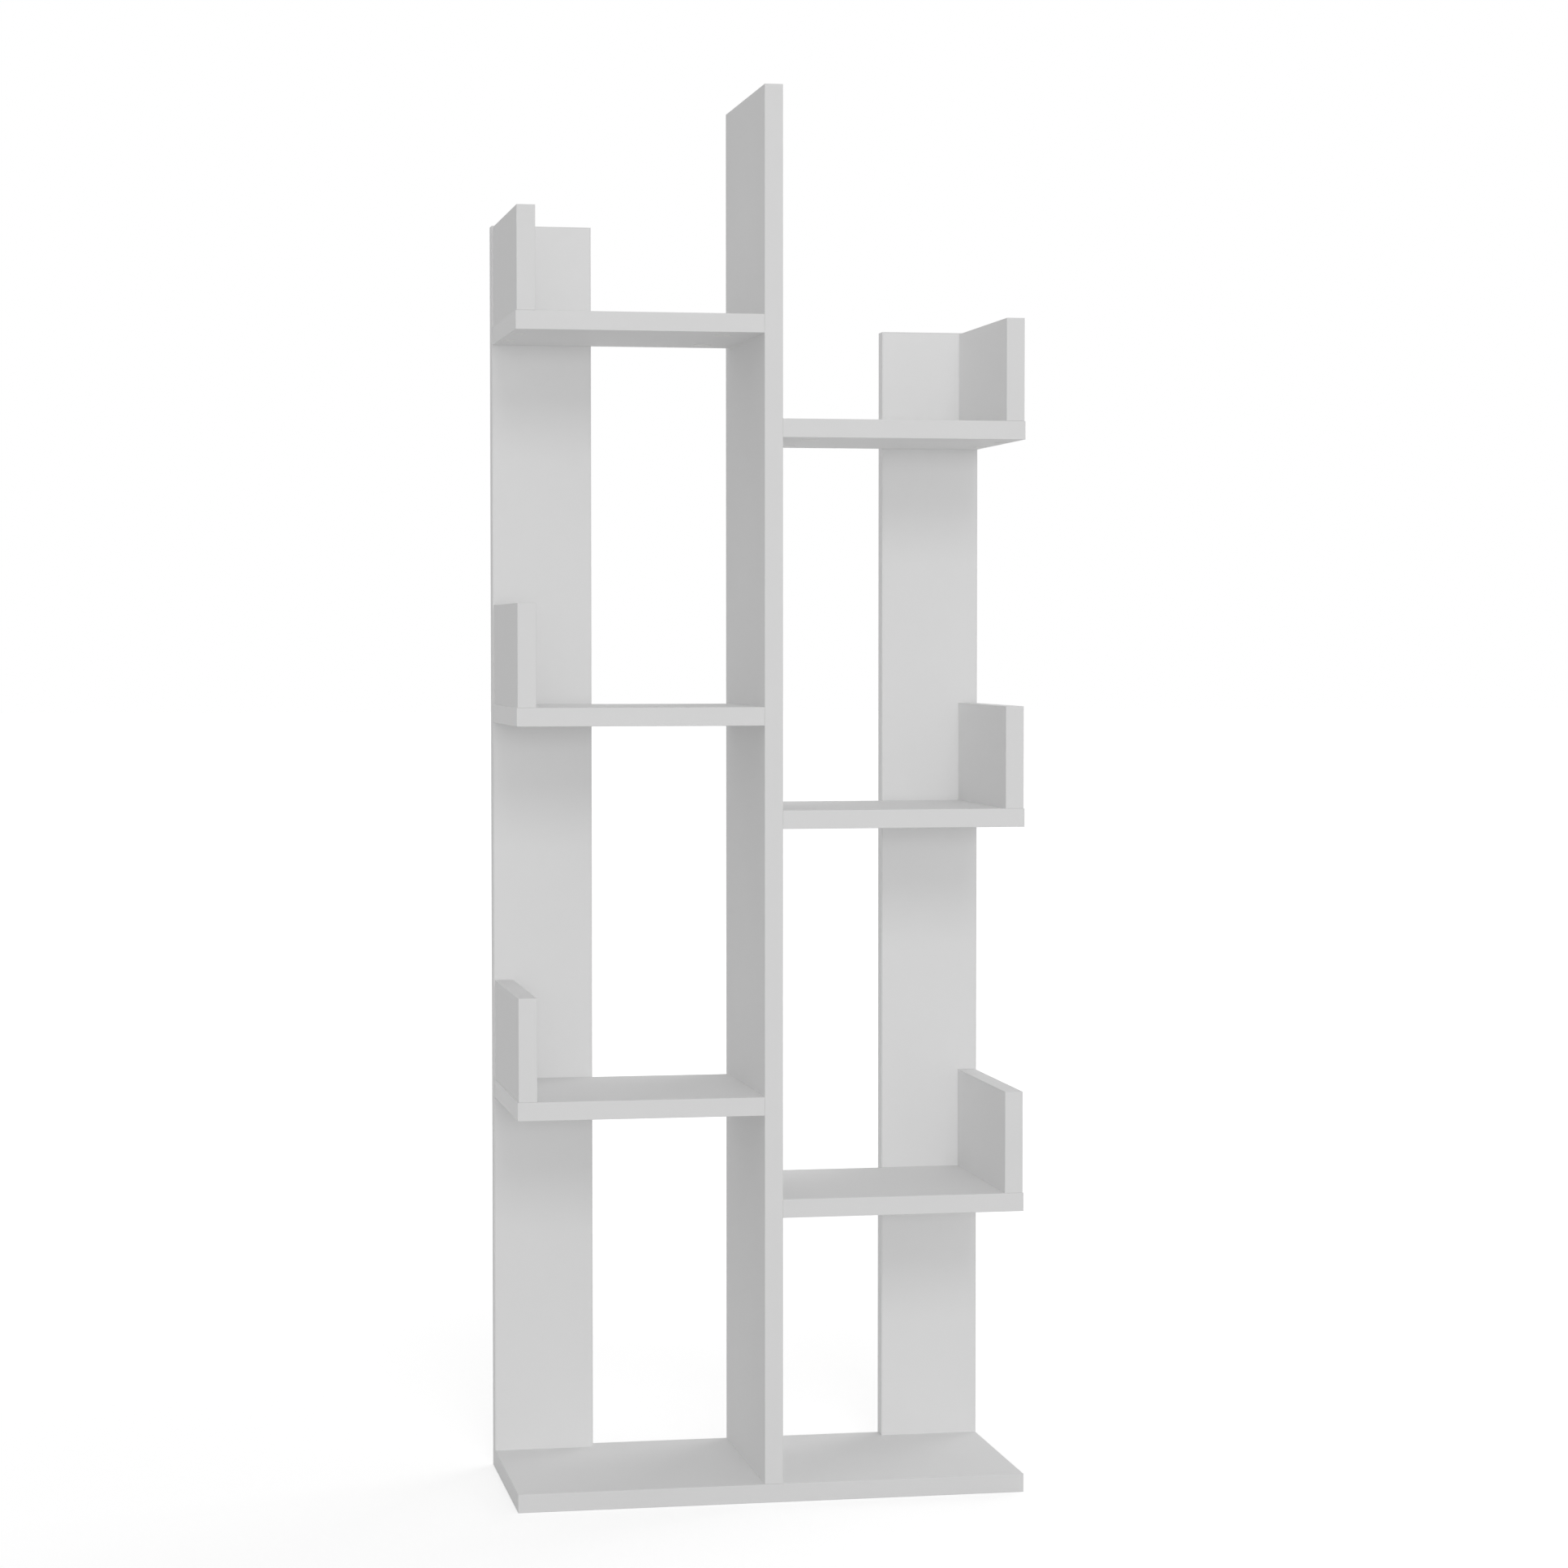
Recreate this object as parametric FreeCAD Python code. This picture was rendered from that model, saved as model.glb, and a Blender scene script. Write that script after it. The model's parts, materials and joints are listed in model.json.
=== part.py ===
# Tree shaped bookshelf of white melamine-faced board, in millimetres.
# A centre upright on a base panel carries three shelves on each side, the right ones lower.
# A short bookend stands on the outer end of each shelf, and a narrow panel at the back of each
# side joins the shelves to the base. X runs to the right, Y to the back and Z up, from the
# middle of the underside of the base.

import FreeCAD, Part
import math
import os

Vector = FreeCAD.Vector

# Whole bookshelf
WIDTH = 500.0
DEPTH = 220.0
BAY_HEIGHT = 360.0          # clear height between two shelves of one side
STAGGER = 100.0             # the right shelves are this much lower than the left ones
CROWN_HEIGHT = 220.0        # rise of the upright above the highest shelf
BOOKEND_HEIGHT = 100.0
BACK_PANEL_WIDTH = 100.0
SHELF_SETBACK = 0.5         # the shelves end this far inside the ends of the base
LEVELS = ("bottom", "middle", "top")
SIGNS = {"left": -1, "right": 1}
DROPS = {"left": 0, "right": STAGGER}

# Boards and the bands glued on their edges
BOARD = 18.0
BAND = 1.0
ARRIS = 0.5                 # rounding of the outer corners of a band
ROUNDING_LIMIT_SHARE = 0.8  # most of a thickness that a rounding may take

# Room around what is pushed or screwed into a hole, and how far a cutter runs past a face
FIT = 0.05
END_ROOM = 0.5
OVERRUN = 1.0
TOUCH = 0.001

# Confirmat screws that hold a board's edge to the face of another
SCREW_LENGTH = 50.0
SCREW_DIAMETER = 7.0
SCREW_THREAD_DEPTH = 1.0
SCREW_PITCH = 3.0
SCREW_TIP = 3.0
SCREW_HEAD_DIAMETER = 10.0
SCREW_HEAD_HEIGHT = 3.2
SCREW_RIM = 0.6
SCREW_SINK = 0.3            # the head lies this far below the face
SOCKET_WIDTH = 4.0          # across the flats of the hexagon
SOCKET_DEPTH = 2.6
SOCKET_FLATS = 6
RIDGE_SHARE = 0.3           # half the foot of a thread ridge, of the pitch
TIP_SHARE = 0.6             # end of a screw's tip, of the thread's core

# Fluted dowels
DOWEL_DIAMETER = 8.0
DOWEL_LENGTH = 30.0
DOWEL_SEAT = 11.0           # depth in the face that it stands in
DOWEL_CHAMFER = 1.0
FLUTE_DIAMETER = 1.2
FLUTE_COUNT = 12

# Cam locks that draw the shelves to the upright
CAM_DIAMETER = 15.0
CAM_REACH = 34.0            # from the end of the shelf to the middle of the cam
CAM_ROOF = 4.6              # board left above the hole of the cam
CAM_SINK = 0.2
CAM_SLOT_WIDTH = 1.8
CAM_SLOT_LENGTH = 9.0
CAM_SLOT_DEPTH = 2.0

# Bolts that the cams pull
BOLT_SHANK_DIAMETER = 6.8
BOLT_HOLE_ROOM = 1.2        # extra width of the hole that the shank lies in
BOLT_NECK_DIAMETER = 4.4
BOLT_HEAD_DIAMETER = 6.6
BOLT_HEAD_LENGTH = 3.0
BOLT_SHOULDER_GAP = 0.6     # between the shank and the cam
BOLT_THREAD_DIAMETER = 6.0
BOLT_THREAD_LENGTH = 11.0
BOLT_THREAD_DEPTH = 0.8
BOLT_PITCH = 2.2
BOLT_TIP = 1.0

# Cover caps on the underside of the shelves
CAP_HEIGHT = 0.8
CAP_ROUNDING = 0.5
CAP_OVERLAP = 1.0           # rim of the cap beyond what it covers
CAP_STEM_SHARE = 0.7        # of the depth of the recess that holds the stem

# Steel angle that ties the upright to the wall, and its two screws
ANGLE_LEG = 24.0
ANGLE_HEIGHT = 44.0
ANGLE_THICKNESS = 2.0
ANGLE_BEND = 1.5            # inside radius
ANGLE_CORNER = 4.0
ANGLE_HOLE_REACH = 14.0     # from the outside of the bend to the middle of a hole
ANGLE_HOLE_SPACING = 24.0
WALL_HOLE_DIAMETER = 5.0
ANGLE_SCREW_DIAMETER = 4.0
ANGLE_SCREW_ROOM = 0.6      # extra width of the hole that the screw goes through
ANGLE_SCREW_LENGTH = 15.0
ANGLE_SCREW_THREAD_DEPTH = 0.7
ANGLE_SCREW_PITCH = 1.8
ANGLE_SCREW_TIP = 3.0
ANGLE_SCREW_HEAD_DIAMETER = 7.6
ANGLE_SCREW_HEAD_HEIGHT = 2.4
ANGLE_SCREW_ROUNDING = 1.4
ANGLE_SCREW_SLOT_WIDTH = 0.9
ANGLE_SCREW_SLOT_LENGTH = 4.6
ANGLE_SCREW_SLOT_DEPTH = 1.5

# Places of the fasteners, as shares of the board's size that they are spread along
UPRIGHT_SCREW_SHARES = (0.25, 0.75)
UPRIGHT_DOWEL_SHARES = (0.42, 0.58)
SHELF_CAM_SHARES = (0.2, 0.8)
SHELF_DOWEL_SHARES = (0.4, 0.6)
BOOKEND_SCREW_SHARES = (0.3, 0.7)
PANEL_FOOT_SCREW_SHARES = (0.25, 0.75)
PANEL_FOOT_DOWEL_SHARE = 0.5
PANEL_SHELF_SCREW_SHARES = (0.25, 0.65)
PANEL_BOOKEND_SCREW_SHARE = 0.65
ANGLE_PLACE_SHARE = 0.75

# Planes that the boards share
FRONT = -DEPTH / 2
BACK = DEPTH / 2
PANEL_FRONT = BACK - BOARD
PANEL_MIDDLE = BACK - BOARD / 2
PANEL_INNER = WIDTH / 2 - BACK_PANEL_WIDTH
PANEL_OUTER = WIDTH / 2
SHELF_END = WIDTH / 2 - SHELF_SETBACK
BOOKEND_OUTER = SHELF_END - BAND
BOOKEND_MIDDLE = BOOKEND_OUTER - BOARD / 2

RIGHTWARD = Vector(1, 0, 0)
REARWARD = Vector(0, 1, 0)
UPWARD = Vector(0, 0, 1)
FULL_TURN = 360
AXES = (0, 1, 2)

# The sides of a board that can carry a band: the axis, and 0 for its low or 1 for its high end
EDGES = {"left": (0, 0), "right": (0, 1), "front": (1, 0), "back": (1, 1), "top": (2, 1)}


def shelf_top(side, level):
    """Height of the upper face of a shelf, counted up in equal bays from the base."""
    return BOARD + (LEVELS.index(level) + 1) * (BAY_HEIGHT + BOARD) - DROPS[side]


UPRIGHT_TOP = shelf_top("left", "top") + CROWN_HEIGHT


def along(low, high, share):
    """The place at a share of the way between two limits."""
    return low + (high - low) * share


def block(low, high):
    """A block between two opposite corners."""
    size = Vector(*high) - Vector(*low)
    return Part.makeBox(size.x, size.y, size.z, Vector(*low))


def rod(diameter, start, end):
    """A round bar along Z between two heights."""
    return Part.makeCylinder(diameter / 2, end - start, Vector(0, 0, start))


def turned(outline):
    """A solid turned about Z from (radius, height) corners that start and end on the axis."""
    points = [Vector(radius, 0, height) for radius, height in outline]
    face = Part.Face(Part.makePolygon(points + points[:1]))
    return face.revolve(Vector(0, 0, 0), UPWARD, FULL_TURN)


def aimed(shape, point, direction):
    """A copy of a shape that was made along Z, carried to a point and turned to a direction."""
    copy = shape.copy()
    copy.Placement = FreeCAD.Placement(point, FreeCAD.Rotation(UPWARD, direction))
    return copy


def edges_at(shape, *middles):
    """The edges of a shape whose middles are the given points."""
    return [edge for edge in shape.Edges
            if any(edge.CenterOfMass.distanceToPoint(middle) < TOUCH for middle in middles)]


def ridges(start, end, diameter, depth, pitch):
    """Outline corners of a thread drawn as rings, from its start to as near its end as they fit."""
    crest = diameter / 2
    core = crest - depth
    half = pitch * RIDGE_SHARE
    corners = []
    for turn in range(int((end - start) / pitch)):
        foot = start + turn * pitch
        corners += [(core, foot), (crest, foot + half), (core, foot + 2 * half)]
    return corners


def crossed_slots(width, length, start, end):
    """Two crossed slots between two heights, for a cross-head driver."""
    lengthways = block((-length / 2, -width / 2, start), (length / 2, width / 2, end))
    crossways = block((-width / 2, -length / 2, start), (width / 2, length / 2, end))
    return lengthways.fuse(crossways)


class Board:
    """A board as a core and the bands glued on the named sides, drilled together at the end.

    The first bands named run the whole length of their edge, and the later ones fit between them.
    """

    def __init__(self, low, high, banded):
        self.corners = (low, high)
        self.bands = []
        self.drillings = []
        core = [list(low), list(high)]
        for side in banded:
            axis, end = EDGES[side]
            band = [list(corner) for corner in core]
            inner = core[end][axis] - BAND if end else core[end][axis] + BAND
            band[1 - end][axis] = inner
            core[end][axis] = inner
            self.bands.append(self.eased(band, axis, end))
        self.core = block(*core)

    def eased(self, band, axis, end):
        """A band with its outer edges rounded, but not where it meets another band."""
        solid = block(*band)
        across = [other for other in AXES if other != axis]
        rounded = []
        for edge in solid.Edges:
            middle = edge.CenterOfMass
            on_outside = abs(middle[axis] - band[end][axis]) < TOUCH
            on_limit = any(abs(middle[other] - corner[other]) < TOUCH
                           for other in across for corner in self.corners)
            if on_outside and on_limit:
                rounded.append(edge)
        return solid.makeFillet(min(ARRIS, BAND * ROUNDING_LIMIT_SHARE), rounded)

    def drill(self, cutter, point, direction):
        """Keeps a cutter that was made along Z, carried to its place, for the end."""
        self.drillings.append(aimed(cutter, point, direction))

    def finished(self):
        """The core and the bands, drilled."""
        if not self.drillings:
            return self.core, self.bands
        return self.core.cut(self.drillings), [band.cut(self.drillings) for band in self.bands]


def confirmat():
    """A screw with its head's face at zero: rim, cone, shank, ringed thread and blunt tip."""
    radius = SCREW_DIAMETER / 2
    core = radius - SCREW_THREAD_DEPTH
    head = SCREW_HEAD_DIAMETER / 2
    shank_end = BOARD - SCREW_SINK
    tip_start = SCREW_LENGTH - SCREW_TIP
    outline = [(0, 0), (head, 0), (head, SCREW_RIM), (radius, SCREW_HEAD_HEIGHT), (radius, shank_end)]
    outline += ridges(shank_end, tip_start, SCREW_DIAMETER, SCREW_THREAD_DEPTH, SCREW_PITCH)
    outline += [(core, tip_start), (core * TIP_SHARE, SCREW_LENGTH), (0, SCREW_LENGTH)]
    corner = SOCKET_WIDTH / 2 / math.cos(math.pi / SOCKET_FLATS)
    angles = [2 * math.pi * flat / SOCKET_FLATS for flat in range(SOCKET_FLATS + 1)]
    hexagon = [Vector(corner * math.cos(angle), corner * math.sin(angle), 0) for angle in angles]
    socket = Part.Face(Part.makePolygon(hexagon)).extrude(Vector(0, 0, SOCKET_DEPTH))
    return turned(outline).cut(socket)


def confirmat_face_hole():
    """The countersunk hole for a confirmat, through the board that its head lies in."""
    head = SCREW_HEAD_DIAMETER / 2 + FIT
    shank = SCREW_DIAMETER / 2 + FIT
    cone_start = SCREW_SINK + SCREW_RIM
    cone_end = SCREW_SINK + SCREW_HEAD_HEIGHT
    end = BOARD + OVERRUN
    return turned([(0, -OVERRUN), (head, -OVERRUN), (head, cone_start),
                   (shank, cone_end), (shank, end), (0, end)])


def confirmat_edge_hole():
    """The hole for a confirmat's thread, in the edge behind that board."""
    return rod(SCREW_DIAMETER + 2 * FIT, BOARD - OVERRUN, SCREW_SINK + SCREW_LENGTH + END_ROOM)


def dowel():
    """A fluted dowel with chamfered ends, standing in a face at zero."""
    radius = DOWEL_DIAMETER / 2
    low = -DOWEL_SEAT
    high = DOWEL_LENGTH - DOWEL_SEAT
    tip = radius - DOWEL_CHAMFER
    outline = [(0, low), (tip, low), (radius, low + DOWEL_CHAMFER),
               (radius, high - DOWEL_CHAMFER), (tip, high), (0, high)]
    flutes = []
    for flute in range(FLUTE_COUNT):
        angle = 2 * math.pi * flute / FLUTE_COUNT
        place = Vector(radius * math.cos(angle), radius * math.sin(angle), 0)
        flutes.append(aimed(rod(FLUTE_DIAMETER, low - OVERRUN, high + OVERRUN), place, UPWARD))
    return turned(outline).cut(flutes)


def dowel_hole(low, high):
    """The hole for a dowel between two heights."""
    return rod(DOWEL_DIAMETER + 2 * FIT, low, high)


def cam(sign):
    """A cam lock above the underside of a shelf at zero.

    It is open at the top, and towards the upright for the bolt's neck; a chamber in its middle holds
    the bolt's head, and crossed slots below take a driver.
    """
    axis = BOARD / 2
    chamber_radius = math.hypot(BOLT_HEAD_LENGTH, BOLT_HEAD_DIAMETER / 2) + FIT
    neck = BOLT_NECK_DIAMETER / 2 + FIT
    mouth_start, mouth_end = sorted((0, -sign * CAM_DIAMETER))
    chamber = rod(2 * chamber_radius, axis - BOLT_HEAD_DIAMETER / 2 - FIT, BOARD)
    mouth = block((mouth_start, -neck, axis - neck), (mouth_end, neck, BOARD))
    slots = crossed_slots(CAM_SLOT_WIDTH, CAM_SLOT_LENGTH, 0, CAM_SINK + CAM_SLOT_DEPTH)
    return rod(CAM_DIAMETER, CAM_SINK, BOARD - CAM_ROOF - FIT).cut([chamber, mouth, slots])


def cam_hole():
    """The blind hole for a cam, up from the underside of a shelf."""
    return rod(CAM_DIAMETER + 2 * FIT, -OVERRUN, BOARD - CAM_ROOF)


def cam_bolt():
    """A bolt from its thread in the upright, across the face at zero, to its head in the cam."""
    core = BOLT_THREAD_DIAMETER / 2 - BOLT_THREAD_DEPTH
    shank = BOLT_SHANK_DIAMETER / 2
    neck = BOLT_NECK_DIAMETER / 2
    head = BOLT_HEAD_DIAMETER / 2
    thread_start = BOLT_TIP - BOLT_THREAD_LENGTH
    shank_end = CAM_REACH - CAM_DIAMETER / 2 - BOLT_SHOULDER_GAP
    head_start = CAM_REACH - BOLT_HEAD_LENGTH
    outline = [(0, -BOLT_THREAD_LENGTH), (core * TIP_SHARE, -BOLT_THREAD_LENGTH)]
    outline += ridges(thread_start, 0, BOLT_THREAD_DIAMETER, BOLT_THREAD_DEPTH, BOLT_PITCH)
    outline += [(core, 0), (shank, 0), (shank, shank_end), (neck, shank_end)]
    outline += [(neck, head_start), (head, head_start), (head, CAM_REACH), (0, CAM_REACH)]
    return turned(outline)


def bolt_face_hole():
    """The hole for a bolt's thread in the upright, below the face at zero."""
    return rod(BOLT_THREAD_DIAMETER + 2 * FIT, -BOLT_THREAD_LENGTH - END_ROOM, OVERRUN)


def bolt_edge_hole():
    """The hole for a bolt's shank, from the end of a shelf to its cam."""
    return rod(BOLT_SHANK_DIAMETER + BOLT_HOLE_ROOM, -OVERRUN, CAM_REACH)


def cover_cap(covered_diameter, recess_width, recess_sink, recess_depth):
    """A cap below a face at zero, rounded at its rim, with a stem up into the recess that it covers."""
    disc = rod(covered_diameter + 2 * CAP_OVERLAP, -CAP_HEIGHT, 0)
    rim = edges_at(disc, Vector(0, 0, -CAP_HEIGHT))
    rounded = disc.makeFillet(min(CAP_ROUNDING, CAP_HEIGHT * ROUNDING_LIMIT_SHARE), rim)
    stem = rod(recess_width - 2 * FIT, 0, recess_sink + recess_depth * CAP_STEM_SHARE)
    return rounded.fuse(stem)


def wall_angle(middle):
    """The bent angle at a height: a leg on the upright's right face and one flush with the back."""
    low = middle - ANGLE_HEIGHT / 2
    high = middle + ANGLE_HEIGHT / 2
    face = BOARD / 2
    inside = face + ANGLE_THICKNESS
    tip = face + ANGLE_LEG
    rear_inside = BACK - ANGLE_THICKNESS
    rear_tip = BACK - ANGLE_LEG
    side_leg = block((face, rear_tip, low), (inside, BACK, high))
    wall_leg = block((face, rear_inside, low), (tip, BACK, high))
    plate = side_leg.fuse(wall_leg).removeSplitter()
    plate = plate.makeFillet(ANGLE_BEND, edges_at(plate, Vector(inside, rear_inside, middle)))
    outer_bend = edges_at(plate, Vector(face, BACK, middle))
    plate = plate.makeFillet(ANGLE_BEND + ANGLE_THICKNESS, outer_bend)
    side_corners = [Vector((face + inside) / 2, rear_tip, end) for end in (low, high)]
    wall_corners = [Vector(tip, (rear_inside + BACK) / 2, end) for end in (low, high)]
    plate = plate.makeFillet(ANGLE_CORNER, edges_at(plate, *side_corners, *wall_corners))
    screw_hole = rod(ANGLE_SCREW_DIAMETER + ANGLE_SCREW_ROOM, -OVERRUN, ANGLE_THICKNESS + OVERRUN)
    wall_hole = rod(WALL_HOLE_DIAMETER, -OVERRUN, ANGLE_THICKNESS + OVERRUN)
    holes = []
    for height in angle_hole_heights(middle):
        holes.append(aimed(screw_hole, Vector(face, BACK - ANGLE_HOLE_REACH, height), RIGHTWARD))
        holes.append(aimed(wall_hole, Vector(face + ANGLE_HOLE_REACH, BACK, height), -REARWARD))
    return plate.cut(holes)


def angle_hole_heights(middle):
    """Heights of the two holes in each leg of the wall angle."""
    return middle - ANGLE_HOLE_SPACING / 2, middle + ANGLE_HOLE_SPACING / 2


def angle_screw():
    """A round-headed screw whose head bears on a face at zero."""
    core = ANGLE_SCREW_DIAMETER / 2 - ANGLE_SCREW_THREAD_DEPTH
    tip_start = ANGLE_SCREW_LENGTH - ANGLE_SCREW_TIP
    outline = [(0, 0), (core, 0)]
    outline += ridges(ANGLE_THICKNESS, tip_start, ANGLE_SCREW_DIAMETER, ANGLE_SCREW_THREAD_DEPTH,
                      ANGLE_SCREW_PITCH)
    outline += [(core, tip_start), (0, ANGLE_SCREW_LENGTH)]
    head = rod(ANGLE_SCREW_HEAD_DIAMETER, -ANGLE_SCREW_HEAD_HEIGHT, 0)
    rim = edges_at(head, Vector(0, 0, -ANGLE_SCREW_HEAD_HEIGHT))
    rounding = min(ANGLE_SCREW_ROUNDING, ANGLE_SCREW_HEAD_HEIGHT * ROUNDING_LIMIT_SHARE)
    slot_start = -ANGLE_SCREW_HEAD_HEIGHT - OVERRUN
    slot_end = ANGLE_SCREW_SLOT_DEPTH - ANGLE_SCREW_HEAD_HEIGHT
    slots = crossed_slots(ANGLE_SCREW_SLOT_WIDTH, ANGLE_SCREW_SLOT_LENGTH, slot_start, slot_end)
    return head.makeFillet(rounding, rim).fuse(turned(outline)).cut(slots)


def angle_screw_hole():
    """The hole for the angle's screw in the upright, under the angle that bears at zero."""
    return rod(ANGLE_SCREW_DIAMETER + 2 * FIT, ANGLE_THICKNESS - OVERRUN, ANGLE_SCREW_LENGTH + END_ROOM)


def make_boards():
    """All the boards in their places, not drilled yet."""
    boards = {
        "base_panel": Board((-WIDTH / 2, FRONT, 0), (WIDTH / 2, BACK, BOARD),
                            ("front", "back", "left", "right")),
        "centre_upright": Board((-BOARD / 2, FRONT, BOARD), (BOARD / 2, BACK, UPRIGHT_TOP),
                                ("front", "back", "top")),
    }
    for side, sign in SIGNS.items():
        panel_left, panel_right = sorted((sign * PANEL_INNER, sign * PANEL_OUTER))
        shelf_left, shelf_right = sorted((sign * BOARD / 2, sign * SHELF_END))
        bookend_left, bookend_right = sorted((sign * (BOOKEND_OUTER - BOARD), sign * BOOKEND_OUTER))
        panel_top = shelf_top(side, "top") + BOOKEND_HEIGHT + BAND
        boards[f"{side}_back_panel"] = Board((panel_left, PANEL_FRONT, BOARD),
                                             (panel_right, BACK, panel_top), ("left", "right", "top"))
        for level in LEVELS:
            top = shelf_top(side, level)
            boards[f"{side}_{level}_shelf"] = Board((shelf_left, FRONT, top - BOARD),
                                                    (shelf_right, PANEL_FRONT, top),
                                                    ("front", "back", side))
            boards[f"{side}_{level}_bookend"] = Board((bookend_left, FRONT, top),
                                                      (bookend_right, PANEL_FRONT, top + BOOKEND_HEIGHT),
                                                      ("front", "top"))
    return boards


class Fitter:
    """Drills the boards for each joint and keeps the fasteners that go into it, by node."""

    def __init__(self, boards):
        self.boards = boards
        self.hardware = {}
        self.confirmat = confirmat()
        self.dowel = dowel()
        self.cams = {side: cam(sign) for side, sign in SIGNS.items()}
        self.cam_bolt = cam_bolt()
        self.screw_cap = cover_cap(SCREW_HEAD_DIAMETER, SOCKET_WIDTH, SCREW_SINK, SOCKET_DEPTH)
        self.cam_cap = cover_cap(CAM_DIAMETER, CAM_SLOT_WIDTH, CAM_SINK, CAM_SLOT_DEPTH)
        self.angle_screw = angle_screw()

    def keep(self, node, shape, point, direction):
        """Puts a fastener in its place and in its node."""
        self.hardware.setdefault(node, []).append(aimed(shape, point, direction))

    def screw(self, node, face_board, edge_board, point, direction):
        """A confirmat from a point on the face of one board into the edge of another."""
        self.boards[face_board].drill(confirmat_face_hole(), point, direction)
        self.boards[edge_board].drill(confirmat_edge_hole(), point, direction)
        self.keep(node, self.confirmat, point + direction * SCREW_SINK, direction)

    def peg(self, node, face_board, edge_board, point, direction):
        """A dowel that stands in the face of one board and enters the edge of another."""
        face_hole = dowel_hole(-DOWEL_SEAT - END_ROOM, OVERRUN)
        edge_hole = dowel_hole(-OVERRUN, DOWEL_LENGTH - DOWEL_SEAT + END_ROOM)
        self.boards[face_board].drill(face_hole, point, direction)
        self.boards[edge_board].drill(edge_hole, point, direction)
        self.keep(node, self.dowel, point, direction)

    def cam_lock(self, side, shelf, depth, underside):
        """A cam, its bolt and its cap, which draw a shelf to the upright."""
        outward = RIGHTWARD * SIGNS[side]
        joint = outward * (BOARD / 2) + Vector(0, depth, underside + BOARD / 2)
        below = outward * (BOARD / 2 + CAM_REACH) + Vector(0, depth, underside)
        self.boards["centre_upright"].drill(bolt_face_hole(), joint, outward)
        self.boards[shelf].drill(bolt_edge_hole(), joint, outward)
        self.boards[shelf].drill(cam_hole(), below, UPWARD)
        self.keep("cam_locks", self.cams[side], below, UPWARD)
        self.keep("cam_bolts", self.cam_bolt, joint, outward)
        self.keep("cam_caps", self.cam_cap, below, UPWARD)

    def fix_base(self):
        """The upright and the back panels, pegged and screwed to the base from below."""
        for share in UPRIGHT_DOWEL_SHARES:
            place = Vector(0, along(FRONT, BACK, share), BOARD)
            self.peg("base_dowels", "base_panel", "centre_upright", place, UPWARD)
        for share in UPRIGHT_SCREW_SHARES:
            place = Vector(0, along(FRONT, BACK, share), 0)
            self.screw("base_screws", "base_panel", "centre_upright", place, UPWARD)
        for side, sign in SIGNS.items():
            panel = f"{side}_back_panel"
            middle = sign * along(PANEL_INNER, PANEL_OUTER, PANEL_FOOT_DOWEL_SHARE)
            self.peg("base_dowels", "base_panel", panel, Vector(middle, PANEL_MIDDLE, BOARD), UPWARD)
            for share in PANEL_FOOT_SCREW_SHARES:
                across = sign * along(PANEL_INNER, PANEL_OUTER, share)
                self.screw("base_screws", "base_panel", panel, Vector(across, PANEL_MIDDLE, 0), UPWARD)

    def fix_shelf(self, side, level):
        """A shelf, locked and pegged to the upright and screwed from behind through the back panel."""
        sign = SIGNS[side]
        shelf = f"{side}_{level}_shelf"
        underside = shelf_top(side, level) - BOARD
        middle = underside + BOARD / 2
        for share in SHELF_CAM_SHARES:
            self.cam_lock(side, shelf, along(FRONT, PANEL_FRONT, share), underside)
        for share in SHELF_DOWEL_SHARES:
            place = Vector(sign * BOARD / 2, along(FRONT, PANEL_FRONT, share), middle)
            self.peg("shelf_dowels", "centre_upright", shelf, place, RIGHTWARD * sign)
        for share in PANEL_SHELF_SCREW_SHARES:
            place = Vector(sign * along(PANEL_INNER, PANEL_OUTER, share), BACK, middle)
            self.screw("shelf_screws", f"{side}_back_panel", shelf, place, -REARWARD)

    def fix_bookend(self, side, level):
        """A bookend, screwed up through its shelf, under caps, and from behind through the back panel."""
        sign = SIGNS[side]
        bookend = f"{side}_{level}_bookend"
        top = shelf_top(side, level)
        for share in BOOKEND_SCREW_SHARES:
            place = Vector(sign * BOOKEND_MIDDLE, along(FRONT, PANEL_FRONT, share), top - BOARD)
            self.screw("bookend_screws", f"{side}_{level}_shelf", bookend, place, UPWARD)
            self.keep("bookend_screw_caps", self.screw_cap, place, UPWARD)
        height = along(top, top + BOOKEND_HEIGHT, PANEL_BOOKEND_SCREW_SHARE)
        place = Vector(sign * BOOKEND_MIDDLE, BACK, height)
        self.screw("bookend_back_screws", f"{side}_back_panel", bookend, place, -REARWARD)

    def fix_wall_angle(self):
        """The wall angle and its screws, on the right face of the upright's crown."""
        middle = along(UPRIGHT_TOP - CROWN_HEIGHT, UPRIGHT_TOP, ANGLE_PLACE_SHARE)
        self.hardware["wall_angle"] = [wall_angle(middle)]
        for height in angle_hole_heights(middle):
            place = Vector(BOARD / 2 + ANGLE_THICKNESS, BACK - ANGLE_HOLE_REACH, height)
            self.boards["centre_upright"].drill(angle_screw_hole(), place, -RIGHTWARD)
            self.keep("wall_angle_screws", self.angle_screw, place, -RIGHTWARD)


def write(node, pieces):
    """Writes the solids of one node."""
    Part.makeCompound(pieces).exportStep(f"parts/{node}.step")


def main():
    """Makes the boards, fits the joints and writes every node."""
    fitter = Fitter(make_boards())
    fitter.fix_base()
    for side in SIGNS:
        for level in LEVELS:
            fitter.fix_shelf(side, level)
            fitter.fix_bookend(side, level)
    fitter.fix_wall_angle()
    os.makedirs("parts", exist_ok=True)
    for node, board in fitter.boards.items():
        core, bands = board.finished()
        write(node, [core])
        write(f"{node}_edge_bands", bands)
    for node, pieces in fitter.hardware.items():
        write(node, pieces)


main()
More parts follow.
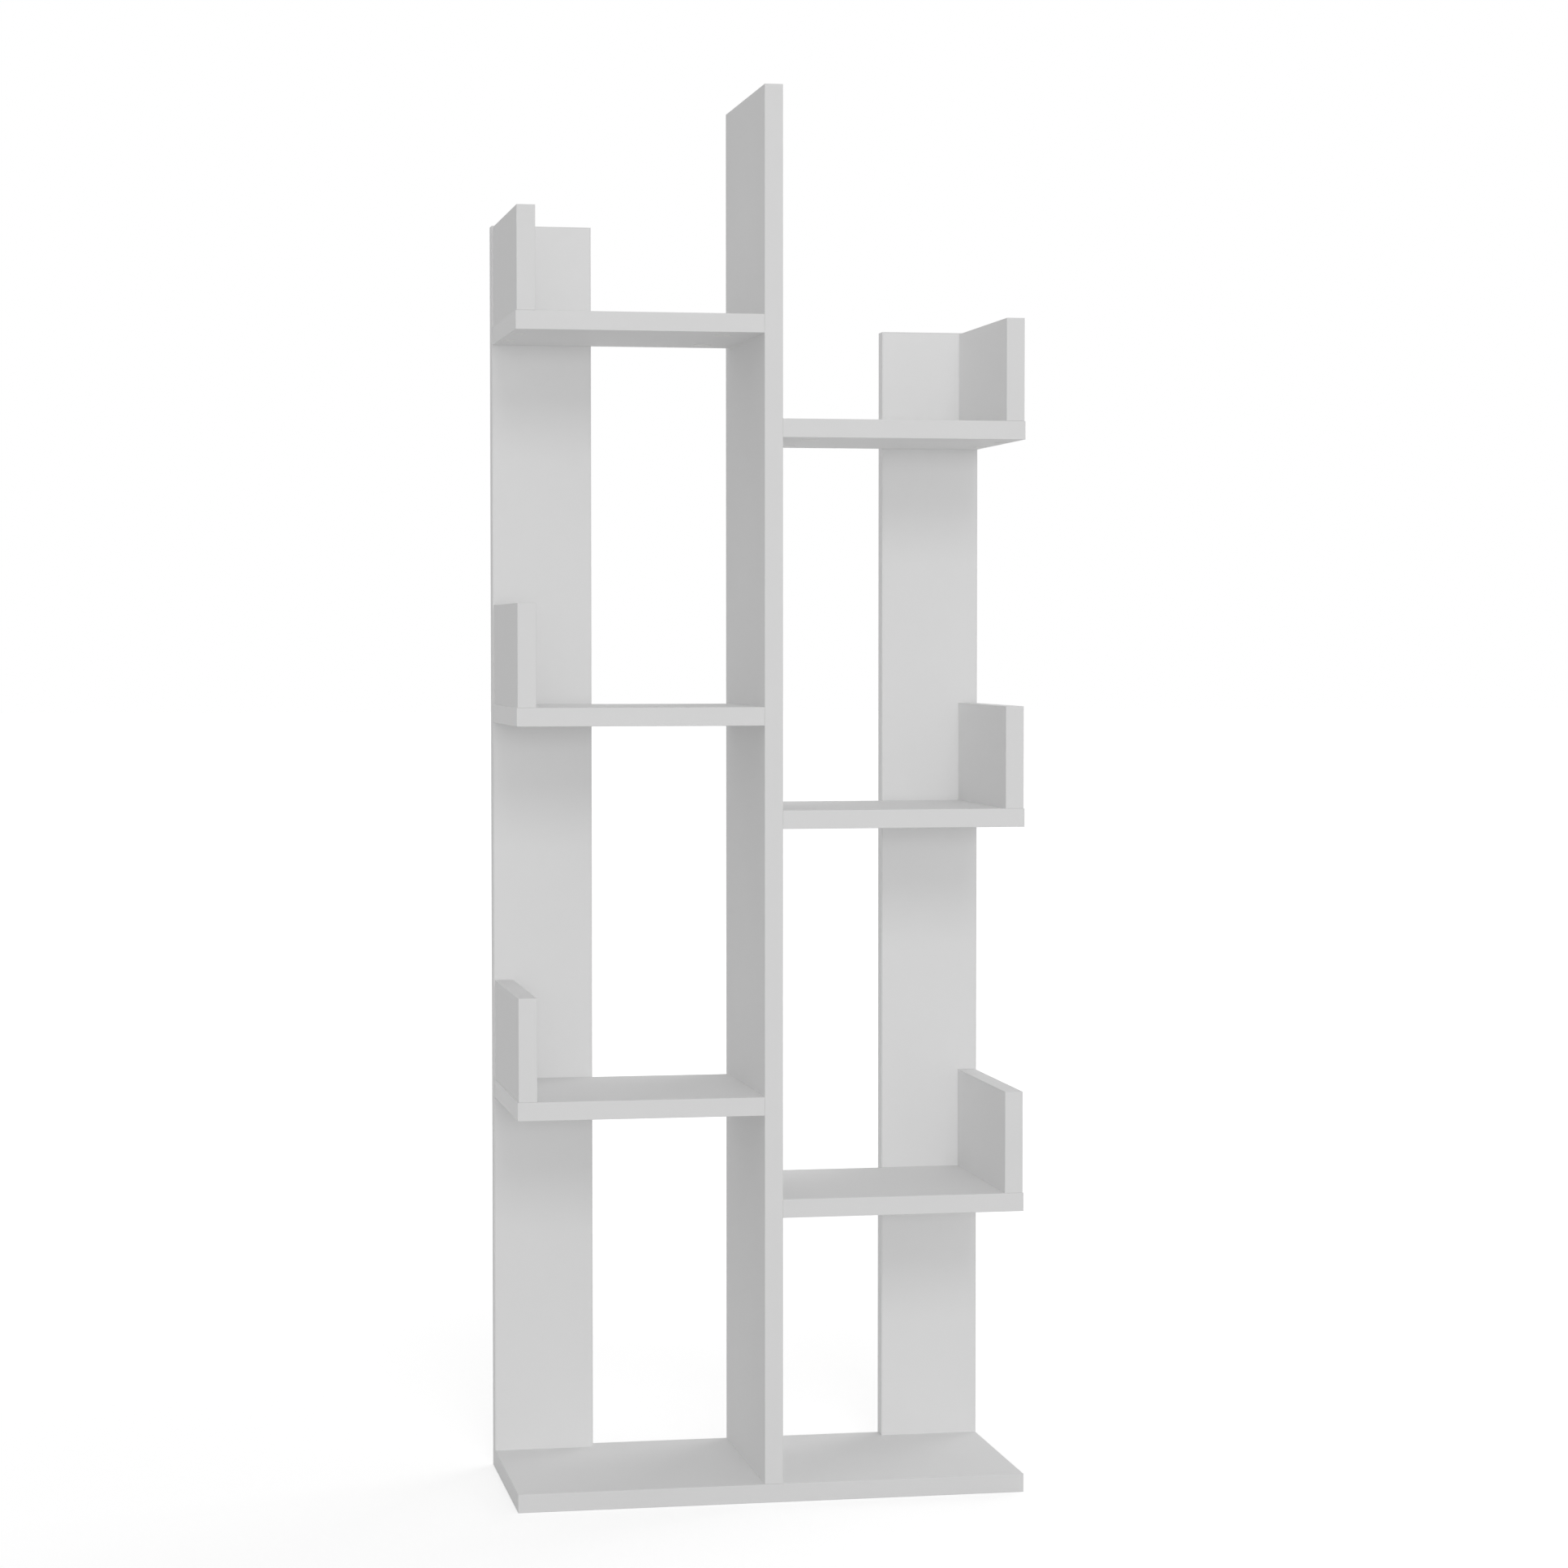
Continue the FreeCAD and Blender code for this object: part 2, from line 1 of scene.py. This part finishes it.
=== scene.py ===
import bpy
import json
import math
import numpy as np
from collections import namedtuple
from functools import partial, reduce
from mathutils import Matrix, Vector


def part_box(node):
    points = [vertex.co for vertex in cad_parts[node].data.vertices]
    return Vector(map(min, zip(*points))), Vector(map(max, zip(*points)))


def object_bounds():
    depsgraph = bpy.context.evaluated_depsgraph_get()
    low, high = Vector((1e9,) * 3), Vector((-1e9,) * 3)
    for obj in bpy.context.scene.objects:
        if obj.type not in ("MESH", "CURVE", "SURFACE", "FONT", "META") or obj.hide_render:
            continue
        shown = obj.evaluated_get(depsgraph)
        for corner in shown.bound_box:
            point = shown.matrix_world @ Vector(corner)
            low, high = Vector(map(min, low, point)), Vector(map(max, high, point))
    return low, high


# Tree shaped bookshelf: the finish of every board, edge band and fitting, and the studio that it stands in.
# Lengths are in metres, as in the frame, and in millimetres inside the finishes.

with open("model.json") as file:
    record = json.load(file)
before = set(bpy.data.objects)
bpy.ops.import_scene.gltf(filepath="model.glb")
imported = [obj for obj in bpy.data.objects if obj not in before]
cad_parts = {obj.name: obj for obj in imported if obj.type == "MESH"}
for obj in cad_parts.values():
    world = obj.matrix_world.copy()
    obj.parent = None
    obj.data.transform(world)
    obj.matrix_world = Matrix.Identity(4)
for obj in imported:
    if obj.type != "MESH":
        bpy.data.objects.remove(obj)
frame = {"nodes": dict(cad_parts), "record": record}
cad_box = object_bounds()

MM = 0.001
AXES = (0, 1, 2)

# Camera at the photograph's viewing angle
CAMERA_PLACE = (-0.6665, -3.7075, 0.8392)
CAMERA_TURN = math.radians(-10.648)
CAMERA_DIP = math.radians(2.184)
CAMERA_LENS = 87.01
CAMERA_SENSOR = 36.0

# Studio light: a level is how bright a perfectly white card is when it faces that light alone
ROOM_LEVEL = 0.56
LAMPS = {
    # name: level, degrees to the right of the front, degrees up, distance, width
    "front_lamp": (0.16, -4.0, 3.0, 8.0, 1.5),
    "high_lamp": (0.11, 0.0, 25.0, 8.0, 2.0),
    "fill_lamp": (0.46, 130.0, 5.0, 6.0, 4.0),
}
BACKDROP_WHITE = (1.0, 1.0, 1.0)
BLACK = (0.0, 0.0, 0.0)

# Floor: it adds a glow to the light on it, less near the shelf, where the shadow falls, than further off
FLOOR_REACH = 40.0
FLOOR_GREY = (0.70, 0.70, 0.70)
NEAR_GLOW = (0.52, 0.52, 0.52)
FAR_GLOW = (0.67, 0.67, 0.67)
NEAR_REACH = 0.6
FAR_REACH = 3.0

# All finishes: the layers of finer noise, the step from one piece's noise to the next, and a matt shine
SOFT_DETAIL = 2.0
FINE_DETAIL = 3.0
FIBRE_DETAIL = 4.0
PATTERN_STEP = np.array((61.0, 37.0, 83.0))
MATT_LEVEL = 0.10

# Melamine film: its depth, the glue line beside a band, a fine pebble, long shallow waves and faint clouds
MELAMINE_WHITE = (0.84, 0.84, 0.84)
GLUE_GREY = (0.56, 0.55, 0.53)
FILM_WHOLE = 0.075
FILM_END = 0.15
GLUE_LINE = 0.10
FILM_ROUGHNESS = 0.56
PEBBLES_PER_MM = 1.1
PEBBLE_HEIGHT = 0.008
PEBBLE_ROUGHNESS = 0.10
WAVES_PER_MM = 0.06
WAVE_HEIGHT = 0.025
FILM_CLOUDS_PER_MM = 0.006
FILM_CLOUD_SHARE = 0.02
CLOUD_ROUGHNESS = 0.06

# Chipboard core: flat chips, packed closer through the board than along it, with fibres in each
CHIP_BROWN = (0.47, 0.33, 0.20)
CHIPS_PER_MM_THROUGH = 1.1
CHIPS_PER_MM_ALONG = 0.4
FIBRES_PER_CHIP = 3.0
CHIP_TONE_SHARE = 0.6
CHIP_SHADE_SHARE = 0.35
CHIP_HEIGHT = 0.20
FIBRE_HEIGHT = 0.15
CHIP_ROUGHNESS = 0.90

# Edge bands: how far one stands out at least, its long roller lines, a fine grain and faint clouds
BANDS_SUFFIX = "_edge_bands"
BAND_WHITE = (0.80, 0.80, 0.80)
BAND_ROUGHNESS = 0.38
PROUD = 0.5
EDGE_BLUR = 0.1
LINES_PER_MM_ALONG = 0.012
LINES_PER_MM_ACROSS = 2.2
LINE_HEIGHT = 0.004
LINE_ROUGHNESS = 0.12
BAND_GRAINS_PER_MM = 1.6
BAND_GRAIN_HEIGHT = 0.003
BAND_CLOUDS_PER_MM = 0.015
BAND_CLOUD_SHARE = 0.015

# Caps: the spark texture of the mould and the slow flow of the plastic
CAP_WHITE = (0.84, 0.84, 0.83)
CAP_ROUGHNESS = 0.50
SPARKS_PER_MM = 7.0
SPARK_HEIGHT = 0.006
SPARK_ROUGHNESS = 0.12
FLOWS_PER_MM = 0.2
FLOW_HEIGHT = 0.01
FLOW_SHARE = 0.015

# Metals: a cloudy tone, and how much it changes the colour and the roughness
ZINC_PLATE = (0.46, 0.47, 0.49)
BOLT_STEEL = (0.42, 0.42, 0.43)
ANGLE_STEEL = (0.44, 0.45, 0.47)
CAST_ZINC = (0.38, 0.38, 0.39)
METAL_CLOUDS_PER_MM = 0.3
METAL_CLOUD_SHARE = 0.6
METAL_SHADE_SHARE = 0.12
METAL_ROUGHNESS_CHANGE = 0.12

# Beech dowels: the axis that each set runs along, the grain, and the short flecks where its noise is high
DOWEL_AXIS = {"base_dowels": 2, "shelf_dowels": 0}
BEECH_BROWN = (0.62, 0.43, 0.26)
BEECH_FLECK = (0.36, 0.21, 0.11)
BEECH_ROUGHNESS = 0.55
GRAINS_PER_MM_ALONG = 0.06
GRAINS_PER_MM_ACROSS = 2.5
GRAIN_SHADE_SHARE = 0.25
GRAIN_HEIGHT = 0.04
GRAIN_ROUGHNESS = 0.2
FLECKS_PER_MM_ALONG = 0.35
FLECKS_PER_MM_ACROSS = 1.8
FLECK_START = 0.60
FLECK_FULL = 0.68
FLECK_SHARE = 0.7
FLECK_DEPTH = 0.02

# A node of the frame, a place on it in millimetres, and that place moved to noise of the node's own
Piece = namedtuple("Piece", "node place pattern")


class Socket:
    """An output of a material's nodes. Arithmetic on it adds Math nodes, and node() adds any other node."""

    def __init__(self, tree, output=None):
        self.tree = tree
        self.output = output

    def node(self, kind, settings=None, inputs=None, output=0):
        """Adds a node: its settings first, then a value or a link for each named or numbered input."""
        node = self.tree.nodes.new("ShaderNode" + kind)
        for name, value in (settings or {}).items():
            setattr(node, name, value)
        for name, value in (inputs or {}).items():
            if isinstance(value, Socket):
                self.tree.links.new(value.output, node.inputs[name])
            else:
                node.inputs[name].default_value = value
        return Socket(self.tree, node.outputs[output] if node.outputs else None)

    def math(self, operation, *values):
        """Adds a Math node that works on numbers and links."""
        return self.node("Math", {"operation": operation}, dict(enumerate(values)))

    def __add__(self, other):
        return self.math("ADD", self, other)

    __radd__ = __add__

    def __sub__(self, other):
        return self.math("SUBTRACT", self, other)

    def __rsub__(self, other):
        return self.math("SUBTRACT", other, self)

    def __mul__(self, other):
        return self.math("MULTIPLY", self, other)

    __rmul__ = __mul__

    def __abs__(self):
        return self.math("ABSOLUTE", self)

    def least(self, other):
        """The lower of two values."""
        return self.math("MINIMUM", self, other)

    def most(self, other):
        """The higher of two values."""
        return self.math("MAXIMUM", self, other)

    def fade(self, none, full):
        """0 at one value and 1 at the other, with a smooth change between them."""
        return self.node("MapRange", {"interpolation_type": "SMOOTHSTEP"},
                         {"Value": self, "From Min": none, "From Max": full})

    def axis(self, number):
        """One coordinate of a place."""
        return self.node("SeparateXYZ", {}, {"Vector": self}, output=number)

    def moved(self, step):
        """A place moved by a step."""
        return self.node("VectorMath", {"operation": "ADD"}, {0: self, 1: step})

    def scaled(self, factors):
        """A place with each coordinate times its own factor."""
        return self.node("VectorMath", {"operation": "MULTIPLY"}, {0: self, 1: factors})

    def stretched(self, axis, per_mm_along, per_mm_across):
        """A place for noise with so many grains to the millimetre along an axis and across it."""
        return self.scaled([per_mm_along if number == axis else per_mm_across for number in AXES])

    def noise(self, per_mm=1.0, detail=SOFT_DETAIL):
        """Soft noise about 0.5, with so many grains to the millimetre."""
        return self.node("TexNoise", {}, {"Vector": self, "Scale": per_mm, "Detail": detail})

    def between(self, none, full):
        """The first colour where this value is 0, the second where it is 1, and their mixtures between."""
        return self.node("Mix", {"data_type": "RGBA"}, {"Factor": self, "A": none, "B": full},
                         output="Result")

    def relief(self):
        """The normal of a surface with this height, in millimetres."""
        return self.node("Bump", {}, {"Height": self, "Strength": 1.0, "Distance": MM})


def paint(colour, level=1.0):
    """A colour times a level, with its alpha."""
    return (*(level * part for part in colour), 1.0)


def clouded(cloud, colour, change_share):
    """A colour that is darker and lighter by the given share as the cloud goes from 0 to 1."""
    return cloud.between(paint(colour, 1.0 - change_share), paint(colour, 1.0 + change_share))


def box_of(node):
    """A node's lowest and highest corners in millimetres."""
    return [np.array(corner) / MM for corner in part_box(node)]


def thin_axis(node):
    """The axis across a board's thickness."""
    low, high = box_of(node)
    return int(np.argmin(high - low))


def inside(place, node, axis):
    """How far a place is inside a node's box along one axis: below 0 when it is outside."""
    low, high = box_of(node)
    along = place.axis(axis)
    return (along - low[axis]).least(high[axis] - along)


def banded_edges(board):
    """The axis and the coordinate of each edge of a board that an edge band covers."""
    ends = zip((-1.0, 1.0), box_of(board), box_of(board + BANDS_SUFFIX))
    return [(axis, core[axis]) for way, core, band in ends for axis in AXES
            if way * (band[axis] - core[axis]) > PROUD]


def chipboard(pattern, across):
    """The colour and the height of a sawn or drilled core: flat chips, pressed together along the board."""
    chips = pattern.stretched(across, CHIPS_PER_MM_THROUGH, CHIPS_PER_MM_ALONG)
    tone = chips.node("TexVoronoi", {}, {"Vector": chips, "Scale": 1.0}, output="Color")
    fibre = chips.noise(FIBRES_PER_CHIP, FIBRE_DETAIL)
    shade = CHIP_TONE_SHARE * tone + (1.0 - CHIP_TONE_SHARE) * fibre
    return clouded(shade, CHIP_BROWN, CHIP_SHADE_SHARE), CHIP_HEIGHT * tone + FIBRE_HEIGHT * fibre


def melamine_board(piece):
    """White melamine film with a fine pebble on a board's two faces, and bare chipboard on the rest."""
    across = thin_axis(piece.node)
    film = inside(piece.place, piece.node, across).fade(FILM_END, FILM_WHOLE)
    gaps = [abs(piece.place.axis(axis) - edge) for axis, edge in banded_edges(piece.node)]
    glue = reduce(Socket.least, gaps).fade(GLUE_LINE, 0.0)
    cloud = piece.pattern.noise(FILM_CLOUDS_PER_MM, FINE_DETAIL)
    pebble = piece.pattern.noise(PEBBLES_PER_MM, FINE_DETAIL)
    wave = piece.pattern.noise(WAVES_PER_MM)
    colour = glue.between(clouded(cloud, MELAMINE_WHITE, FILM_CLOUD_SHARE), paint(GLUE_GREY))
    height = PEBBLE_HEIGHT * pebble + WAVE_HEIGHT * wave
    roughness = FILM_ROUGHNESS + PEBBLE_ROUGHNESS * pebble + CLOUD_ROUGHNESS * cloud
    chip_colour, chip_height = chipboard(piece.pattern, across)
    return {
        "Base Color": film.between(chip_colour, colour),
        "Roughness": CHIP_ROUGHNESS + film * (roughness - CHIP_ROUGHNESS),
        "Specular IOR Level": MATT_LEVEL,
        "Normal": (chip_height + film * (height - chip_height)).relief(),
    }


def edge_band(piece):
    """White plastic strip, with faint lines along each edge from the rollers that drew it."""
    board = piece.node.removesuffix(BANDS_SUFFIX)
    lines = 0.0
    for axis in sorted({axis for axis, _ in banded_edges(board)}):
        length_axis = sum(AXES) - axis - thin_axis(board)
        on_edge = inside(piece.place, board, axis).fade(EDGE_BLUR, -EDGE_BLUR)
        drawn = piece.pattern.stretched(length_axis, LINES_PER_MM_ALONG, LINES_PER_MM_ACROSS)
        lines = lines + on_edge * drawn.noise()
    grain = piece.pattern.noise(BAND_GRAINS_PER_MM)
    cloud = piece.pattern.noise(BAND_CLOUDS_PER_MM)
    return {
        "Base Color": clouded(cloud, BAND_WHITE, BAND_CLOUD_SHARE),
        "Roughness": BAND_ROUGHNESS + LINE_ROUGHNESS * lines + CLOUD_ROUGHNESS * cloud,
        "Specular IOR Level": MATT_LEVEL,
        "Normal": (LINE_HEIGHT * lines + BAND_GRAIN_HEIGHT * grain).relief(),
    }


def moulded_cap(piece):
    """White plastic with the fine spark texture of its mould."""
    spark = piece.pattern.noise(SPARKS_PER_MM, FINE_DETAIL)
    flow = piece.pattern.noise(FLOWS_PER_MM)
    return {
        "Base Color": clouded(flow, CAP_WHITE, FLOW_SHARE),
        "Roughness": CAP_ROUGHNESS + SPARK_ROUGHNESS * spark,
        "Specular IOR Level": MATT_LEVEL,
        "Normal": (SPARK_HEIGHT * spark + FLOW_HEIGHT * flow).relief(),
    }


def metal(piece, colour, roughness, per_mm, height):
    """Bare or plated metal: a cloudy tone, and a grain of so many to the millimetre with the given height."""
    cloud = piece.pattern.noise(METAL_CLOUDS_PER_MM, FINE_DETAIL)
    grain = piece.pattern.noise(per_mm, FINE_DETAIL)
    shade = METAL_CLOUD_SHARE * cloud + (1.0 - METAL_CLOUD_SHARE) * grain
    return {
        "Base Color": clouded(shade, colour, METAL_SHADE_SHARE),
        "Metallic": 1.0,
        "Roughness": roughness + METAL_ROUGHNESS_CHANGE * (cloud + grain - 1.0),
        "Normal": (height * grain).relief(),
    }


def beech(piece):
    """Bare beech: fine grain along the dowel, crossed by short dark flecks."""
    axis = DOWEL_AXIS[piece.node]
    drawn = piece.pattern.stretched(axis, GRAINS_PER_MM_ALONG, GRAINS_PER_MM_ACROSS)
    spotted = piece.pattern.stretched(axis, FLECKS_PER_MM_ALONG, FLECKS_PER_MM_ACROSS)
    grain = drawn.noise(detail=FIBRE_DETAIL)
    fleck = spotted.noise().fade(FLECK_START, FLECK_FULL)
    wood = clouded(grain, BEECH_BROWN, GRAIN_SHADE_SHARE)
    return {
        "Base Color": (FLECK_SHARE * fleck).between(wood, paint(BEECH_FLECK)),
        "Roughness": BEECH_ROUGHNESS + GRAIN_ROUGHNESS * grain,
        "Normal": (GRAIN_HEIGHT * grain - FLECK_DEPTH * fleck).relief(),
    }


# The finish of each material slot
FINISHES = {
    "white_melamine_board": melamine_board,
    "white_edge_band": edge_band,
    "white_cap": moulded_cap,
    "beech_dowel": beech,
    "zinc_plated_screw": partial(metal, colour=ZINC_PLATE, roughness=0.40, per_mm=4.0, height=0.004),
    "steel_bolt": partial(metal, colour=BOLT_STEEL, roughness=0.42, per_mm=4.0, height=0.004),
    "galvanised_angle": partial(metal, colour=ANGLE_STEEL, roughness=0.44, per_mm=2.5, height=0.006),
    "cast_zinc": partial(metal, colour=CAST_ZINC, roughness=0.52, per_mm=5.0, height=0.015),
}


def empty_tree(holder):
    """The cleared nodes of a material or a world."""
    holder.use_nodes = True
    holder.node_tree.nodes.clear()
    return Socket(holder.node_tree)


def dress(node, number, finish):
    """Gives a node of the frame its own material."""
    material = bpy.data.materials.new(f"{node}_finish")
    tree = empty_tree(material)
    place = tree.node("TexCoord", output="Object").scaled((1.0 / MM,) * 3)
    piece = Piece(node, place, place.moved(number * PATTERN_STEP))
    surface = tree.node("BsdfPrincipled", {}, finish(piece))
    tree.node("OutputMaterial", {}, {"Surface": surface})
    frame["nodes"][node].material_slots[0].material = material


def dress_shelf():
    """Gives every node of the frame the finish of its material slot."""
    for number, part in enumerate(frame["record"]["subparts"]):
        dress(part["node"], number, FINISHES[part["material_slot"]])


def seen(tree):
    """1 for what the camera sees, directly, mirrored or through something, and 0 for the light that falls."""
    rays = [tree.node("LightPath", output=f"Is {kind} Ray") for kind in ("Camera", "Glossy", "Transmission")]
    return reduce(Socket.most, rays)


def lay_floor():
    """A wide pale floor that looks white, with the shelf's soft shadow on it."""
    corners = [(x * FLOOR_REACH, y * FLOOR_REACH, 0.0) for x, y in ((-1, -1), (1, -1), (1, 1), (-1, 1))]
    mesh = bpy.data.meshes.new("floor")
    mesh.from_pydata(corners, [], [range(len(corners))])
    floor = bpy.data.objects.new("floor", mesh)
    bpy.context.collection.objects.link(floor)
    material = bpy.data.materials.new("pale_floor")
    tree = empty_tree(material)
    place = tree.node("TexCoord", output="Object")
    distance = tree.node("VectorMath", {"operation": "LENGTH"}, {0: place}, output="Value")
    glow = distance.fade(NEAR_REACH, FAR_REACH).between(paint(NEAR_GLOW), paint(FAR_GLOW))
    surface = tree.node("BsdfPrincipled", {}, {
        "Base Color": paint(FLOOR_GREY),
        "Roughness": 1.0,
        "Specular IOR Level": 0.0,
        "Emission Color": seen(tree).between(paint(BLACK), glow),
        "Emission Strength": 1.0,
    })
    tree.node("OutputMaterial", {}, {"Surface": surface})
    mesh.materials.append(material)


def light_room():
    """Even light from all round, in front of a white backdrop."""
    world = bpy.data.worlds.new("studio")
    bpy.context.scene.world = world
    tree = empty_tree(world)
    room = tree.node("Background", {}, {"Color": paint(BACKDROP_WHITE), "Strength": ROOM_LEVEL})
    backdrop = tree.node("Background", {}, {"Color": paint(BACKDROP_WHITE), "Strength": 1.0})
    both = tree.node("MixShader", {}, {0: seen(tree), 1: room, 2: backdrop})
    tree.node("OutputWorld", {}, {"Surface": both})


def hang_lamp(name, level, azimuth, elevation, distance, width):
    """A square lamp that faces the middle of the shelf, and that no surface mirrors.

    Its power, the level times the square of pi times the distance, lights a white card there to that level.
    """
    low, high = cad_box
    middle = 0.5 * (Vector(low) + Vector(high))
    turn = math.radians(azimuth)
    tilt = math.radians(elevation)
    outward = Vector((math.sin(turn) * math.cos(tilt), -math.cos(turn) * math.cos(tilt), math.sin(tilt)))
    light = bpy.data.lights.new(name, "AREA")
    light.energy = level * (math.pi * distance) ** 2
    light.size = width
    lamp = bpy.data.objects.new(name, light)
    lamp.location = middle + distance * outward
    lamp.rotation_euler = outward.to_track_quat("Z", "Y").to_euler()
    lamp.visible_camera = False
    lamp.visible_glossy = False
    bpy.context.collection.objects.link(lamp)


def place_camera():
    """The photograph's view: from the front, a little to the left, and slightly down."""
    camera = bpy.data.objects.new("camera", bpy.data.cameras.new("camera"))
    camera.location = CAMERA_PLACE
    camera.rotation_euler = (0.5 * math.pi - CAMERA_DIP, 0.0, CAMERA_TURN)
    camera.data.lens = CAMERA_LENS
    camera.data.sensor_width = CAMERA_SENSOR
    bpy.context.collection.objects.link(camera)
    bpy.context.scene.camera = camera


dress_shelf()
lay_floor()
light_room()
for lamp_name, lamp_values in LAMPS.items():
    hang_lamp(lamp_name, *lamp_values)
place_camera()
bpy.context.scene.view_settings.view_transform = "Standard"
